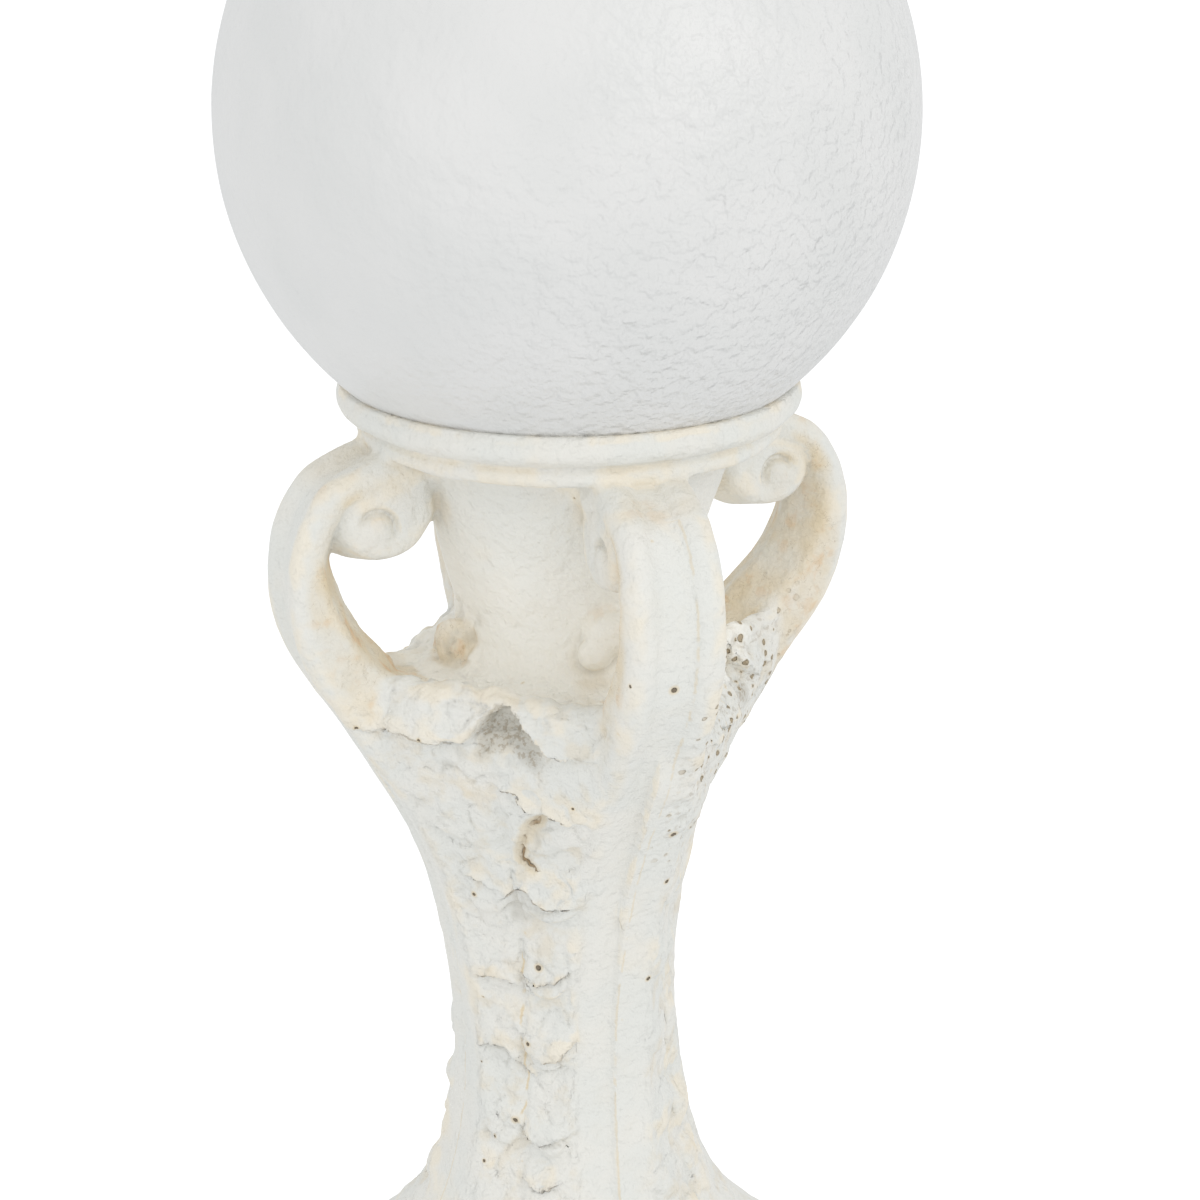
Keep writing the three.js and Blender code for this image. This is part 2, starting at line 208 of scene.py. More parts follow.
# Curls and buds: [outward, up] centres and sizes
CURL_CENTRE = (61.9, 330)
CURL_SIDE = (11.8, 9.6)
CURL_KEEL = (19.4, 13.6)
CURL_STRETCH = 0.45
CURL_STRETCH_TURN = math.radians(130)
CURL_HALF_WIDTH = 14
EYE_CENTRE = (64.4, 329)
EYE_RADIUS = 4.6
EYE_GROOVE_DEPTH = 2.8
EYE_GROOVE_TURN = math.radians(115)
BUD_RADIUS = 36.5
BUD_LEVELS = np.array([296.5, 296.5, 286, 296.5])
BUD_SIZE = (6.5, 8, 7.5)
# How strongly each strap's bud is painted tan, partly staining and partly painted shade
BUD_STAIN_AND_SHADE = np.array([0.25, 0.25, 0.8, 0.25])

rng = np.random.default_rng(SEED)
noise_lattice = rng.random((32, 32, 32)).astype(np.float32) * 2 - 1


def lerp(a, b, t):
    return a + (b - a) * t


def smoothstep(x, low, high):
    t = np.clip((x - low) / (high - low), 0, 1)
    return t * t * (3 - 2 * t)


def within(x, start, full, last, end):
    """1 between full and last, falling smoothly to 0 at start and at end."""
    return smoothstep(x, start, full) * (1 - smoothstep(x, last, end))


def smooth_min(a, b, size):
    h = np.clip(0.5 + 0.5 * (b - a) / size, 0, 1)
    return lerp(b, a, h) - size * h * (1 - h)


def smooth_max(a, b, size):
    return -smooth_min(-a, -b, size)


def noise(points, scale, shift=0.0):
    """Smooth noise from -1 to 1 at points (n, 3), with bumps about scale wide."""
    place = points / scale + shift
    cell = np.floor(place).astype(np.int32)
    t = (place - cell).astype(np.float32)
    t = t * t * (3 - 2 * t)
    total = 0
    for corner in np.ndindex(2, 2, 2):
        weight = np.prod(np.where(corner, t, 1 - t), axis=-1)
        index = (cell + corner) % 32
        total = total + weight * noise_lattice[index[..., 0], index[..., 1], index[..., 2]]
    return total


def fractal(points, scale, octaves, shift=0.0):
    """Noise with ever finer and weaker noise on it."""
    total = 0
    for octave in range(octaves):
        total = total + noise(points, scale / 2 ** octave, shift + 5.3 * octave) / 2 ** octave
    return total


def spline(knots, steps):
    """Points on a Catmull-Rom curve through the knots, and their shares of its knots."""
    knots = np.array(knots, float)
    padded = np.vstack([2 * knots[0] - knots[1], knots, 2 * knots[-1] - knots[-2]])
    shares = np.linspace(0, 1, steps)
    place = shares * (len(knots) - 1)
    k = np.minimum(place.astype(int), len(knots) - 2)
    t = (place - k)[:, None]
    a, b, c, d = (padded[k + offset] for offset in range(4))
    curve = b + 0.5 * t * (c - a + t * (2 * a - 5 * b + 4 * c - d + t * (3 * (b - c) + d - a)))
    return curve, shares


def arc(centre, size, start, end, steps):
    """Points round a centre, from one angle to another in degrees."""
    width, height = size if isinstance(size, tuple) else (size, size)
    angles = np.radians(np.linspace(start, end, steps))
    return [[centre[0] + width * math.cos(a), centre[1] + height * math.sin(a)] for a in angles]


class PlaneTable:
    """Values on a lattice of the upright plane, looked up at any distance outward and height."""

    STEP = 0.75
    PAST_AXIS = 4
    PAST_SIDE = 14
    UNDER = 6
    OVER = 8

    def __init__(self, function):
        self.out = np.arange(-self.PAST_AXIS, PLINTH_RADIUS + self.PAST_SIDE, self.STEP)
        self.up = np.arange(-self.UNDER, COLLAR_TOP_Z + self.OVER, self.STEP)
        out, up = np.meshgrid(self.out, self.up, indexing="ij")
        self.values = [value.astype(np.float32) for value in function(out, up)]

    def at(self, out, up):
        i = np.clip((out - self.out[0]) / self.STEP, 0, len(self.out) - 1.001)
        j = np.clip((up - self.up[0]) / self.STEP, 0, len(self.up) - 1.001)
        i, j = np.broadcast_arrays(i, j)
        i0, j0 = i.astype(np.int32), j.astype(np.int32)
        s, t = i - i0, j - j0
        return [
            lerp(lerp(v[i0, j0], v[i0 + 1, j0], s), lerp(v[i0, j0 + 1], v[i0 + 1, j0 + 1], s), t)
            for v in self.values
        ]


def polygon_distance(polygon, out, up):
    """Distance to a closed outline, negative inside."""
    corners = np.array(polygon, float)
    nearest = np.full(out.shape, np.inf)
    inside = np.zeros(out.shape, bool)
    for (au, az), (bu, bz) in zip(corners, np.roll(corners, -1, axis=0)):
        du, dz = bu - au, bz - az
        t = np.clip(((out - au) * du + (up - az) * dz) / (du * du + dz * dz), 0, 1)
        nearest = np.minimum(nearest, np.hypot(out - au - t * du, up - az - t * dz))
        if az != bz:
            inside ^= ((az > up) != (bz > up)) & (out < au + (up - az) * du / dz)
    return np.where(inside, -nearest, nearest)


def head_outline():
    """Collar, neck and the floor inside the loops."""
    seat_reach = BALL_RADIUS + SEAT_GAP
    seat = [[r, BALL_CENTRE_Z - math.sqrt(seat_reach ** 2 - r ** 2)] for r in SEAT_RADII]
    ring = [[RING_TOP_RADIUS, COLLAR_TOP_Z], *arc(RING_CENTRE, RING_SIZE, 35, -85, 12)]
    bead = arc(BEAD_CENTRE, BEAD_SIZE, 80, -85, 8)
    core = [[CORE, FLOOR[-1][1]], [CORE, CUP[0][1]]]
    return [*CUP, *seat, *ring, GROOVE, *bead, *NECK, *FLOOR, *core]


def base_outline():
    """Bead and plinth."""
    bead = arc(BASE_BEAD_CENTRE, BASE_BEAD_SIZE, 90, -70, 12)
    plinth = [
        [PLINTH_RADIUS - PLINTH_CHAMFER, PLINTH_TOP_Z],
        [PLINTH_RADIUS, PLINTH_TOP_Z - PLINTH_CHAMFER],
        [PLINTH_RADIUS, PLINTH_CHAMFER],
        [PLINTH_RADIUS - PLINTH_CHAMFER, 0],
    ]
    return [*bead, *plinth, [CORE, 0], [CORE, bead[0][1]]]


def most_thinning(face, v):
    """The most that the casting is thinned, blended over a face between the straps on its two sides."""
    return lerp(STRAP_THINNING[face], STRAP_THINNING[(face + 1) % 4], np.clip((v + 1) / 2, 0, 1))


def thinning(z, worst):
    """How much thinner the casting is at height z."""
    reach = np.where(z > THINNEST_Z, THINNING_ABOVE, THINNING_BELOW)
    return worst * np.exp(-(((z - THINNEST_Z) / reach) ** 2))


def strap_plane(worst):
    """A function for a strap's upright plane, whose casting is thinned by worst at most.

    It gives the distance out of the outer face, the share of the strap's length and the distance past its
    ends.
    """
    def measure(out, up):
        line, shares = spline(STRAP_LINE, 360)
        line[:, 0] -= thinning(line[:, 1], worst)
        along = np.gradient(line, axis=0)
        along /= np.linalg.norm(along, axis=1)[:, None]
        nearest = np.zeros(out.shape, int)
        best = np.full(out.shape, np.inf)
        for k, (u, z) in enumerate(line):
            gap = (out - u) ** 2 + (up - z) ** 2
            closer = gap < best
            nearest[closer] = k
            best[closer] = gap[closer]
        du, dz = out - line[nearest, 0], up - line[nearest, 1]
        tu, tz = along[nearest, 0], along[nearest, 1]
        ahead = du * tu + dz * tz
        past = np.where(nearest == 0, -ahead, np.where(nearest == len(line) - 1, ahead, -9))
        return dz * tu - du * tz, shares[nearest], past
    return measure


def turned_distances(out, up):
    return [polygon_distance(outline, out, up) for outline in (head_outline(), base_outline())]


column_line = spline(COLUMN_KNOTS, 240)[0]
turned = PlaneTable(turned_distances)
plain_strap = PlaneTable(strap_plane(0))
thin_strap = PlaneTable(strap_plane(STRAP_THINNING[0]))
strap_ends = np.append(STRAP_AZIMUTHS, STRAP_AZIMUTHS[0] + 2 * math.pi)
face_middles = (strap_ends[1:] + strap_ends[:-1]) / 2
face_halves = (strap_ends[1:] - strap_ends[:-1]) / 2


def face_distance(z):
    return np.interp(z, column_line[::-1, 0], column_line[::-1, 1])


def locate(x, y, z):
    """Radius, face, angle from its middle, angle to its ribs, nearest strap and angle from that strap."""
    radius = np.hypot(x, y)
    azimuth = (np.arctan2(y, x) - strap_ends[0]) % (2 * math.pi) + strap_ends[0]
    face = np.clip(np.searchsorted(strap_ends, azimuth, side="right") - 1, 0, 3)
    angle = azimuth - face_middles[face]
    reach = face_halves[face] - np.arcsin(RIB_HALF_WIDTH / (1.12 * face_distance(z)))
    right = angle > 0
    strap = (face + right) % 4
    off = azimuth - strap_ends[face + right]
    return radius, face, angle, reach, strap, off


def lobe_swell(across):
    """Swell of a lobe across the face: none in the crease and at the ribs, full between them."""
    return np.sqrt(np.clip(1 - ((across - 0.5) / 0.52) ** 2, 0, 1))


def lobe_sag(across):
    """Depth of a lobe's hanging edge below its ends."""
    return 1 - ((across - 0.45) / 0.55) ** 2


leaf_weight = rng.uniform(*LEAF_UNEVENNESS, (4, 2, len(LEAF_EDGES))) * LEAF_SIDES[None, :, None]


def leaf_relief(v, z, face):
    """Overlapping rows of lobes, each rising to its hanging edge and tucked under it by a crease."""
    across = np.clip(np.abs(v), 0, 1)
    drop = LEAF_SAG * lobe_sag(across) + LEAF_STAGGER[face] * smoothstep(v, 0.02, 0.16)
    level = z + drop
    edges = np.array(LEAF_EDGES, float)
    top, bottom = edges[0], edges[-1]
    row = np.interp(-level, -edges, np.arange(len(edges)))
    share = row - np.floor(row)
    rise = within(share, 0, 0.7, 0.88, 1)
    shown = smoothstep(level, bottom + 2, bottom + 12) * smoothstep(-level, -top - 1, -top + 1)
    weight = leaf_weight[face, (v > 0).astype(int), np.clip(row.astype(int), 0, len(edges) - 1)]
    weight = weight * (1 - LEAF_FADING * most_thinning(face, v))
    crease = 0.8 * np.exp(-((v / 0.07) ** 2))
    return shown * (LEAF_PROUD * weight * lobe_swell(across) * rise - crease)


def rim_level(v, face):
    """Height of the rim round the floor."""
    across = np.clip(np.abs(v), 0, 1)
    return RIM_Z + RIM_LIFT[face] * (1 - 0.3 * across ** 2) * (1 - smoothstep(np.abs(v), 0.85, 1.15))


def lip_relief(v, z, face):
    """The rolled lip at the head of a face, hanging over a pointed hollow. A low rim has no hollow."""
    across = np.clip(np.abs(v), 0, 1)
    rim = rim_level(v, face)
    gap = np.clip(1 - np.abs(v - HOLLOW_SHIFT) / HOLLOW_REACH, 0, 1) * (rim > RIM_Z - LIP_DROP)
    fading = 1 - LEAF_FADING * most_thinning(face, v)
    proud = LIP_PROUD * (0.4 + 0.6 * lobe_swell(across)) * (1 - across ** 4) * fading
    edge = np.minimum(LIP_Z - 0.5 * LEAF_SAG * lobe_sag(across) + HOLLOW_HEIGHT * gap, rim - 2)
    foot = LIP_Z - LIP_DROP - 0.5 * LEAF_SAG * lobe_sag(across) + 6 * gap
    roll = proud * (0.6 + 0.4 * smoothstep(-z, -edge - 8, -edge - 1))
    under = lerp(-0.4 * HOLLOW_DEPTH * gap, -0.5 - HOLLOW_DEPTH * np.sqrt(gap), smoothstep(z, foot, edge))
    below = -0.4 * HOLLOW_DEPTH * gap * smoothstep(z, foot - 5, foot)
    return np.where(z > edge, roll, np.where(z > foot, under, below))


def carving(x, y, z, v, face):
    """How far the leaves and the lip stand out of the column, with uneven edges."""
    points = np.stack([x, y, z], axis=-1)
    bent_v = v + 0.045 * noise(points, 13, 3)
    bent_z = z + 1.6 * noise(points, 17, 9) + 0.5 * noise(points, 4, 6)
    between = 1 - smoothstep(np.abs(v), 0.93, 1.1)
    return (leaf_relief(bent_v, bent_z, face) + lip_relief(bent_v, bent_z, face)) * between


def column_distance(x, y, z, place):
    """Distance to the carved column, whose top is hollowed to the floor inside the loops."""
    radius, face, angle, reach, _, _ = place
    v = angle / reach
    square = smoothstep(z, ROUND_Z, SQUARE_Z)
    flat = face_distance(z) * lerp(1, 1 / np.cos(np.clip(angle, -reach, reach)), square)
    inset = RIM_INSET[face] * np.clip(1 - v ** 2, 0, 1) * smoothstep(z, LIP_Z - LIP_DROP, RIM_Z)
    side = radius - flat + inset + thinning(z, most_thinning(face, v))
    near = (np.abs(side) < 11) & (np.abs(v) < 1.1) & (z < RIM_Z + 8)
    relief = np.zeros(side.shape)
    relief[near] = carving(x[near], y[near], np.full(near.sum(), float(z)), v[near], face[near])
    slope = (face_distance(z + 1) - face_distance(z - 1)) / 2
    rim = rim_level(v, face) + 0.5 + RIM_WAVE * np.sin(9 * v + 2) * np.cos(23 * v)
    top = lerp(FLOOR_Z, rim, smoothstep(side, -FLOOR_REACH, -2.5))
    return smooth_max((side - relief) / np.sqrt(1 + slope ** 2), z - top, 4)


def strap_distance(out, up, across, strap):
    """Distance to a strap: two rolls with a channel between them, over a keel."""
    measures = zip(thin_strap.at(out, up), plain_strap.at(out, up))
    normal, share, past = (np.where(strap == 0, thin, plain) for thin, plain in measures)
    half, thick, keel, channel = (np.interp(share, STRAP_SIZES[:, 0], size) for size in STRAP_SIZES.T[1:])
    aside = np.abs(across)
    roll = (half + channel) / 2
    reach = (half - channel) / 2 * 1.06
    hump = np.clip(1 - ((aside - roll) / reach) ** 2, 0, 1)
    hump = np.where(across > 0, np.sqrt(hump), hump)
    outer = normal + CHANNEL_DEPTH * (1 - hump)
    inner = -normal - thick - keel * (1 - aside / half)
    rail = smooth_max(outer, aside - half, 4)
    return np.maximum(smooth_max(rail, inner, 3), past)


def curl_distance(out, up, across):
    """Distance to a curl, with a groove round the eye on each of its sides."""
    aside = np.abs(across)
    taper = np.clip(1 - aside / CURL_HALF_WIDTH, 0, 1)
    width, height = (lerp(side, keel, taper) for side, keel in zip(CURL_SIDE, CURL_KEEL))
    du, dz = out - CURL_CENTRE[0], up - CURL_CENTRE[1]
    turn = np.clip(np.cos(np.arctan2(dz, du) - CURL_STRETCH_TURN), 0, 1)
    stretch = 1 + CURL_STRETCH * turn ** 4
    disc = (np.hypot(du / width, dz / height) / stretch - 1) * np.minimum(width, height)
    eu, ez = out - EYE_CENTRE[0], up - EYE_CENTRE[1]
    eye = np.hypot(eu, ez)
    fade = smoothstep(np.cos(np.arctan2(ez, eu) - EYE_GROOVE_TURN), -0.3, 0.4)
    groove = EYE_GROOVE_DEPTH * fade * np.exp(-(((eye - EYE_RADIUS - 0.6) / 1.1) ** 2))
    boss = 0.9 * np.clip(1 - (eye / (EYE_RADIUS + 0.5)) ** 2, 0, 1)
    side = aside - CURL_HALF_WIDTH - boss + groove
    return smooth_max(disc, side, 2.5)


def bud_distance(out, up, across, strap):
    """Distance to a bud of two lobes at the neck's foot."""
    sizes = np.array(BUD_SIZE)
    offset = np.stack([out - BUD_RADIUS, across, up - BUD_LEVELS[strap]], axis=-1)
    main = (np.linalg.norm(offset / sizes, axis=-1) - 1) * sizes.min()
    offset = offset - [0.5, -5, -5.5]
    second = (np.linalg.norm(offset / (0.7 * sizes), axis=-1) - 1) * 0.7 * sizes.min()
    return smooth_min(main, second, 0.8)


def pedestal_distance(x, y, z):
    """Distance to the pedestal's surface in mm, negative inside."""
    place = locate(x, y, z)
    radius, _, _, _, strap, off = place
    out, across = radius * np.cos(off), radius * np.sin(off)
    up = np.broadcast_to(z, out.shape)
    head, base = turned.at(radius, z)
    body = smooth_min(column_distance(x, y, z, place), head, 2.5)
    body = smooth_min(body, base, 3)
    merge = 1.2 + 5 * smoothstep(-out, -60, -50)
    limb = smooth_min(strap_distance(out, up, across, strap), curl_distance(out, up, across), merge)
    body = smooth_min(body, limb, 2.5)
    body = smooth_min(body, bud_distance(out, up, across, strap), 1.5)
    return np.maximum(body, -up)


def sample(field, low, points):
    """Straight interpolation in a field of cells whose first corner is low."""
    place = np.clip((points - low) / CELL, 0, np.array(field.shape) - 1.001)
    cell = place.astype(np.int32)
    t = place - cell
    total = np.zeros(len(points))
    for corner in np.ndindex(2, 2, 2):
        weight = np.prod(np.where(corner, t, 1 - t), axis=1)
        i, j, k = (cell + corner).T
        total += weight * field[i, j, k]
    return total


def slope_of(field, low, points):
    """Direction in which the field rises at points."""
    steps = np.eye(3) * 0.7 * CELL
    slopes = [sample(field, low, points + s) - sample(field, low, points - s) for s in steps]
    slopes = np.stack(slopes, axis=1)
    return slopes / np.maximum(np.linalg.norm(slopes, axis=1), 1e-9)[:, None]


def net_surface(field, low):
    """A mesh of quads on the zero surface of the field, one corner in each cell that it crosses."""
    inside = field < 0
    corners = [inside[i:i - 1 or None, j:j - 1 or None, k:k - 1 or None] for i, j, k in np.ndindex(2, 2, 2)]
    count = sum(corner.astype(np.int8) for corner in corners)
    crossed = (count > 0) & (count < 8)
    cells = np.argwhere(crossed)
    numbers = np.full(crossed.shape, -1, np.int32)
    numbers[crossed] = np.arange(len(cells))
    total = np.zeros((len(cells), 3))
    hits = np.zeros(len(cells))
    quads = []
    for axis in range(3):
        step = np.eye(3, dtype=int)[axis]
        sides = [np.eye(3, dtype=int)[a] for a in range(3) if a != axis]
        for i, j in np.ndindex(2, 2):
            start = cells + i * sides[0] + j * sides[1]
            here = field[tuple(start.T)]
            there = field[tuple((start + step).T)]
            cut = (here < 0) != (there < 0)
            t = here[cut] / (here[cut] - there[cut])
            total[cut] += i * sides[0] + j * sides[1] + t[:, None] * step
            hits[cut] += 1
        first = np.take(inside, range(field.shape[axis] - 1), axis)
        second = np.take(inside, range(1, field.shape[axis]), axis)
        edges = np.argwhere(first != second)
        edges = edges[np.all([edges[:, a] > 0 for a in range(3) if a != axis], axis=0)]
        turns = ((1, 1), (0, 1), (0, 0), (1, 0))
        ring = np.stack([numbers[tuple((edges - i * sides[0] - j * sides[1]).T)] for i, j in turns], axis=1)
        outward = first[tuple(edges.T)] ^ (axis == 1)
        quads.append(np.where(outward[:, None], ring, ring[:, ::-1]))
    return low + (cells + total / hits[:, None]) * CELL, np.vstack(quads)


def pedestal_field():
    """The pedestal's distances on a grid, one level after the other, and FAR well outside it."""
    low = CAST_LOW - 2.5 * CELL
    counts = np.ceil((CAST_HIGH - CAST_LOW) / CELL).astype(int) + 6
    xs, ys, zs = (low[a] + CELL * np.arange(counts[a]) for a in range(3))
    x, y = np.meshgrid(xs, ys, indexing="ij")
    radius = np.hypot(x, y)
    outline = np.array([[CAST_HIGH[0], 40], *STRAP_LINE[:1:-1], [RING_CENTRE[0], COLLAR_TOP_Z]], float)
    field = np.full(tuple(counts), FAR, np.float32)
    for k, z in enumerate(zs):
        close = radius < np.interp(z, outline[:, 1], outline[:, 0]) + FAR
        field[:, :, k][close] = pedestal_distance(x[close], y[close], z)
    return field, low


def new_mesh(name, points, faces):
    mesh = bpy.data.meshes.new(name)
    mesh.vertices.add(len(points))
    mesh.vertices.foreach_set("co", (points * MM).astype(np.float32).ravel())
    mesh.loops.add(faces.size)
    mesh.loops.foreach_set("vertex_index", faces.astype(np.int32).ravel())
    mesh.polygons.add(len(faces))
    mesh.polygons.foreach_set("loop_start", np.arange(0, faces.size, faces.shape[1], dtype=np.int32))
    mesh.update(calc_edges=True)
    mesh.validate()
    return mesh


def mesh_points(mesh):
    points = np.empty(len(mesh.vertices) * 3, np.float32)
    mesh.vertices.foreach_get("co", points)
    return points.reshape(-1, 3).astype(float) / MM


def fewer_triangles(mesh, triangles):
    """The mesh with its flattest triangles merged until about that many are left."""
    mesh.calc_loop_triangles()
    carrier = bpy.data.objects.new("carrier", mesh)
    bpy.context.scene.collection.objects.link(carrier)
    modifier = carrier.modifiers.new("fewer", "DECIMATE")
    modifier.ratio = min(1, triangles / len(mesh.loop_triangles))
    modifier.use_collapse_triangulate = True
    shown = carrier.evaluated_get(bpy.context.evaluated_depsgraph_get())
    fewer = bpy.data.meshes.new_from_object(shown)
    bpy.data.objects.remove(carrier)
    return fewer


def line_side(v, z, scale, line):
    """Distance in mm from a line of [v, z] corners, negative below it. A face is 2 * scale mm wide."""
    nearest = np.full(v.shape, np.inf)
    side = np.ones(v.shape)
    for (start_v, start_z), (end_v, end_z) in zip(line, line[1:]):
        du, dz = (end_v - start_v) * scale, end_z - start_z
        pu, pz = (v - start_v) * scale, z - start_z
        t = np.clip((pu * du + pz * dz) / (du * du + dz * dz), 0, 1)
        gap = np.hypot(pu - t * du, pz - t * dz)
        closer = gap < nearest
        side[closer] = np.where(du * pz < dz * pu, -1, 1)[closer]
        nearest[closer] = gap[closer]
    return nearest * side


def crease_side(points, lines, wander):
    """Distance from the nearest of the lines on the creased face, negative below it."""
    radius, face, angle, reach, _, _ = locate(*points.T)
    scale = reach * radius
    v = angle / reach + wander * fractal(points, 4.5, 2, 4) / scale
    z = points[:, 2] + wander * fractal(points, 4.5, 2, 12)
    sides = np.stack([line_side(v, z, scale, line) for line in lines])
    side = np.take_along_axis(sides, np.abs(sides).argmin(axis=0)[None], axis=0)[0]
    on_face = (face == CREASED_FACE) & (np.abs(v) < 1.1) & (radius > 30) & (z < RIM_Z)
    return np.where(on_face, side, AWAY)


def groove_side(points):
    """Distance from the groove along the right roll of a strap."""
    radius, _, _, _, _, off = locate(*points.T)
    out, across = radius * np.cos(off), radius * np.sin(off)
    normal, share, _ = plain_strap.at(out, points[:, 2])
    channel = np.interp(share, STRAP_SIZES[:, 0], STRAP_SIZES[:, 4])
    outer = (normal > -6) & (share > 0.16) & (radius > 30)
    return np.where(outer, across - channel, AWAY)


def knobs(points):
    """Height of the knobs, which are steeper below than above."""
    radius, face, angle, reach, _, _ = locate(*points.T)
    total = np.zeros(len(points))
    for side, v, z, size, height in KNOBS:
        across = (angle - v * reach) * radius
        up = points[:, 2] - z
        up = np.where(up < 0, KNOB_STEEPNESS * up, up)
        total += (face == side) * (radius > 25) * height * np.exp(-(across ** 2 + up ** 2) / size ** 2)
    return total


def fold(side):
    """Height across a crease: a lip that swells above the crease, and a shallow groove under it."""
    lip = FOLD_RISE * np.exp(-side / FOLD_REACH)
    groove = FOLD_DEPTH * np.exp(side / FOLD_GROOVE)
    return np.where(side > 0, lip, -groove)


def roughness(points):
    """1 where the casting is pitted all over, 0 elsewhere."""
    azimuth = np.degrees(np.arctan2(points[:, 1], points[:, 0])) % 360
    first, last = ROUGH_AZIMUTHS
    low, high = ROUGH_HEIGHTS
    round_it = within(azimuth, first - 2, first + 6, last - 6, last + 2)
    return round_it * within(points[:, 2], low, low + 25, high - 12, high)


def carved_share(points):
    """1 on the leaf-carved faces, less on the rest of the casting."""
    _, _, angle, reach, _, _ = locate(*points.T)
    across = 1 - smoothstep(np.abs(angle / reach), 0.95, 1.15)
    return 0.15 + 0.85 * across * within(points[:, 2], 60, 80, 278, 284)


def inner_floor_light_share(points):
    """1 on the floor inside the loops and at the neck's foot, which painted light makes paler."""
    radius = np.hypot(points[:, 0], points[:, 1])
    return (1 - smoothstep(radius, 50, 58)) * within(points[:, 2], 274, 280, 296, 350)


def hollow_shade_share(points):
    """1 inside the pointed hollows under the lips, which are painted grey as shade."""
    radius, face, angle, reach, _, _ = locate(*points.T)
    v, z = angle / reach, points[:, 2]
    gap = np.clip(1 - np.abs(v - HOLLOW_SHIFT) / HOLLOW_REACH, 0, 1)
    gap = gap * (rim_level(v, face) > RIM_Z - LIP_DROP)
    sag = 0.5 * LEAF_SAG * lobe_sag(np.clip(np.abs(v), 0, 1))
    low, high = LIP_Z - LIP_DROP - sag + 6 * gap, LIP_Z - sag + HOLLOW_HEIGHT * gap
    inside = within(z, low - 2, low + 2, high - 1, high + 1)
    return inside * smoothstep(gap, 0.05, 0.3) * smoothstep(radius, 50, 53)


def leaf_lumps(points):
    """Lumps, grain and wrinkles of the carved faces."""
    _, _, angle, reach, _, _ = locate(*points.T)
    z = points[:, 2]
    on_face = (1 - smoothstep(np.abs(angle / reach), 0.85, 1.1)) * smoothstep(z, 60, 85) * (z < RIM_Z - 2)
    lumps = LUMP_HEIGHT * fractal(points, 9, 3, 1) + GRAIN_HEIGHT * noise(points, 2.6, 2)
    wrinkle = -WRINKLE_DEPTH * np.clip(1 - np.abs(fractal(points, 12, 2, 4)) / 0.1, 0, 1)
    return on_face * (lumps + wrinkle)


def burrs(points):
    """Rough metal left by the bud and on the floor of the western loops."""
    x, z, radius = points[:, 0], points[:, 2], np.hypot(points[:, 0], points[:, 1])
    west = smoothstep(-x, 30, 36) * (radius < 58) * within(z, 276, 284, 298, 302)
    return BURR_HEIGHT * west * fractal(points, 5, 3, 20)


def cast_relief(points):
    """How far the surface stands out of its smooth form in mm."""
    radius, z = np.hypot(points[:, 0], points[:, 1]), points[:, 2]
    wave = WAVE_HEIGHTS[0] * noise(points, 16, 5) + WAVE_HEIGHTS[1] * noise(points, 5, 8)
    wave = wave * (radius < 95) * smoothstep(z, 30, 45)
    eaten = EATEN_DEPTH * np.clip(fractal(points, 4.5, 2, 9) - 0.1, 0, 1) * roughness(points)
    folds = fold(crease_side(points, CREASE_LINES, CREASE_WANDER))
    crack = crease_side(points, [CRACK_LINE], CRACK_WANDER) / CRACK_WIDTH
    crack = CRACK_DEPTH * np.exp(-(crack ** 2))
    return leaf_lumps(points) + wave + burrs(points) - eaten + folds - crack + knobs(points)


def tan_stain_and_shade(points):
    """How strongly each point is painted tan, partly staining and partly painted shade: insides of the loops,
    floor, buds and the collar's joints.
    """
    radius, _, _, _, strap, off = locate(*points.T)
    out, across, up = radius * np.cos(off), radius * np.sin(off), points[:, 2]
    normal, share, _ = plain_strap.at(out, up)
    curl = smoothstep(-curl_distance(out, up, across), -2.5, -1)
    loop = smoothstep(-normal, 3, 7) * within(share, 0.1, 0.16, 0.42, 0.5)
    loop = loop * (1 - smoothstep(np.abs(across), 14, 16)) * (out > 50) * (1 - 0.75 * curl)
    floor = within(up, FLOOR_Z - 3, FLOOR_Z, 285, 294) * (radius < 60)
    bud = smoothstep(-bud_distance(out, up, across, strap), -3, 0) * BUD_STAIN_AND_SHADE[strap]
    joint = within(up, 336, 346, 348, 352) * (1 - smoothstep(np.abs(across), 8, 16)) * smoothstep(out, 48, 60)
    patchy = 0.25 + 0.75 * smoothstep(fractal(points, 9, 3, 7), -0.6, 0.6)
    return patchy * np.max([0.95 * loop, 0.1 * floor, bud, 0.4 * joint], axis=0)


def add_measure(mesh, name, values):
    attribute = mesh.attributes.new(name, "FLOAT", "POINT")
    attribute.data.foreach_set("value", values.astype(np.float32))


def add_line(mesh, name, side):
    """Measures for a thin line: the distance from it with its sign, and 1 beside it."""
    add_measure(mesh, name + "_side", np.clip(side, -4, 4))
    add_measure(mesh, name + "_near", 1 - smoothstep(np.abs(side), *LINE_NEAR))


def add_measures(mesh, field, low):
    """Measures for the paint: how deep in a crevice each point is, how far it stands proud, and the rest."""
    points = mesh_points(mesh)
    normals = slope_of(field, low, points)
    for name, reach in CREVICE_REACHES.items():
        shut = 1 - sample(field, low, points + reach * normals) / reach
        add_measure(mesh, name, np.clip(shut, 0, 1))
    add_line(mesh, "crease_line", crease_side(points, CREASE_LINES, CREASE_WANDER))
    add_line(mesh, "middle_line", crease_side(points, [MIDDLE_LINE], CREASE_WANDER))
    add_line(mesh, "crack_line", crease_side(points, [CRACK_LINE], CRACK_WANDER))
    add_line(mesh, "groove_line", groove_side(points))
    add_measure(mesh, "rough", roughness(points))
    add_measure(mesh, "carved", carved_share(points))
    add_measure(mesh, "pale", inner_floor_light_share(points))
    add_measure(mesh, "hollow", hollow_shade_share(points))
    add_measure(mesh, "stain_and_shade", tan_stain_and_shade(points))


